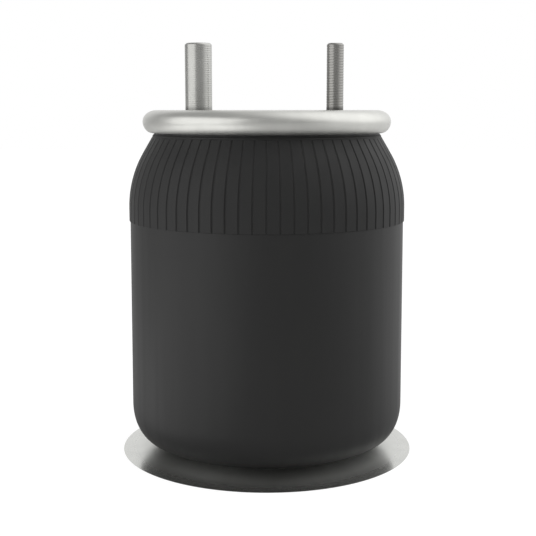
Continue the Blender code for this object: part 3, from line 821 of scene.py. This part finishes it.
def make_floor():
    """Pale floor that lights the spring from below, white to the camera but for a faint shadow.
    Metal and glass show it white too, where it runs back to the backdrop."""
    mat, tree, shader, place = new_material("studio_floor")
    shader.inputs["Base Color"].default_value = (*FLOOR_COLOR, 1)
    shader.inputs["Roughness"].default_value = FLOOR_ROUGHNESS
    shader.inputs["Specular IOR Level"].default_value = FLOOR_SHEEN
    shade = tree.nodes.new("ShaderNodeBsdfDiffuse")
    shade.inputs["Color"].default_value = (*FLOOR_SHADE, 1)
    glow = white_light(tree, "ShaderNodeEmission", FLOOR_GLOW)
    seen = tree.nodes.new("ShaderNodeAddShader")
    tree.links.new(shade.outputs["BSDF"], seen.inputs[0])
    tree.links.new(glow.outputs["Emission"], seen.inputs[1])
    white = white_light(tree, "ShaderNodeEmission")
    camera_ray, shiny = ray_kinds(tree)
    backdrop = smooth_along(tree, place, (0.8, 0.6, 0), (0.0, 0.4), low=0, high=0.7)
    behind = maths(tree, "MULTIPLY", shiny, backdrop)
    mirrored = mixed_shader(tree, behind, shader.outputs["BSDF"], white.outputs["Emission"])
    surface = mixed_shader(tree, camera_ray, mirrored, seen.outputs["Shader"])
    tree.links.new(surface, tree.nodes["Material Output"].inputs["Surface"])
    bm = bmesh.new()
    bmesh.ops.create_grid(bm, x_segments=1, y_segments=1, size=FLOOR_HALF)
    bmesh.ops.translate(bm, verts=bm.verts, vec=(0, 0, -FLOOR_DROP))
    floor = finished(bm, "studio_floor", mat)


def make_world():
    """Studio walls: dim in front, brighter above and to the right. The backdrop is white to the
    camera, and metal and glass show it white too where it stands behind the spring."""
    world = bpy.data.worlds.new("studio")
    bpy.context.scene.world = world
    world.use_nodes = True
    tree = world.node_tree
    tree.nodes.clear()
    out = tree.nodes.new("ShaderNodeOutputWorld")
    direction = tree.nodes.new("ShaderNodeTexCoord").outputs["Generated"]
    lit = white_light(tree, "ShaderNodeBackground")
    walls = smooth_along(tree, direction, (0.76, 0.2, 0.61), (0.38, 1.0), low=0.42, high=1.5)
    tree.links.new(walls, lit.inputs["Strength"])
    white = white_light(tree, "ShaderNodeBackground")
    camera_ray, shiny = ray_kinds(tree)
    backdrop = smooth_along(tree, direction, (0, 1, 0.1), (0.65, 0.95), low=0, high=1)
    behind = maths(tree, "MULTIPLY", shiny, backdrop)
    seen = maths(tree, "MAXIMUM", camera_ray, behind)
    surface = mixed_shader(tree, seen, lit.outputs["Background"], white.outputs["Background"])
    tree.links.new(surface, out.inputs["Surface"])


def make_lamp(name, place, target, size, power):
    """A soft area lamp at place, turned to the target. It is a panel of width and height, or a
    round card of one size."""
    data = bpy.data.lights.new(name, "AREA")
    data.shape = "DISK" if len(size) == 1 else "RECTANGLE"
    data.size = size[0]
    if len(size) == 2:
        data.size_y = size[1]
    data.energy = power
    lamp = linked(name, data)
    lamp.location = place
    lamp.rotation_mode = "QUATERNION"
    lamp.rotation_quaternion = (Vector(target) - Vector(place)).to_track_quat("-Z", "Y")
    lamp.visible_camera = False


def make_camera():
    """The camera, level with the plate and pitched down a little."""
    data = bpy.data.cameras.new("camera")
    data.lens = CAMERA_LENS
    data.sensor_width = CAMERA_SENSOR
    camera = linked("camera", data)
    camera.location = CAMERA_PLACE
    camera.rotation_euler = (math.radians(90 - CAMERA_PITCH), 0, 0)
    bpy.context.scene.camera = camera


# The spring, piece by piece

rubber = bellows_rubber("bellows_rubber", roughness=0.48)
rib_rubber = bellows_rubber("rib_rubber", roughness=0.58)
rim_steel = plated_steel("rim_steel", (0.66, 0.66, 0.63), roughness=0.36, dull=0.14)
# The foot shares darken each stud's base colour next to the plate: painted shade
wide_stud_steel = plated_steel(
    "wide_stud_steel", (0.50, 0.50, 0.48), roughness=0.28, spin_marks=False, foot=0.6
)
# The thin stud's steel is darker than the wide stud's: painted shade of its thread grooves
thin_stud_steel = plated_steel(
    "thin_stud_steel", (0.34, 0.335, 0.32), roughness=0.30, spin_marks=False, foot=0.4
)
skirt_steel = spun_steel("skirt_steel", (0.62, 0.625, 0.60), roughness=0.35, metallic=0.93)
fastener_steel = plated_steel(
    "fastener_steel", (0.55, 0.56, 0.55), roughness=0.35, spin_marks=False
)
coat = black_coat("black_coat")
wire = brass_wire("bead_wire")

make_camera()
make_plate(rim_steel)
make_plain_stud(thin_stud_steel)
make_combo_stud(wide_stud_steel)
make_shoulder(rib_rubber)
make_outer_sleeve(rubber)
make_inner_sleeve(rubber)
make_piston(coat)
make_skirt(skirt_steel)
dress_nodes(rubber, coat, fastener_steel, wire)
make_floor()
make_world()
make_lamp(
    "left_panel",
    place=(-0.87, -0.48, 0.54),
    target=(0, 0, 0.2),
    size=(1.5, 1.05),
    power=4.6,
)
make_lamp(
    "floor_card",
    place=(-0.47, -0.24, 0.002),
    target=(-0.47, -0.24, 1.0),
    size=(0.76,),
    power=0.93,
)

bpy.context.scene.view_settings.view_transform = "Standard"
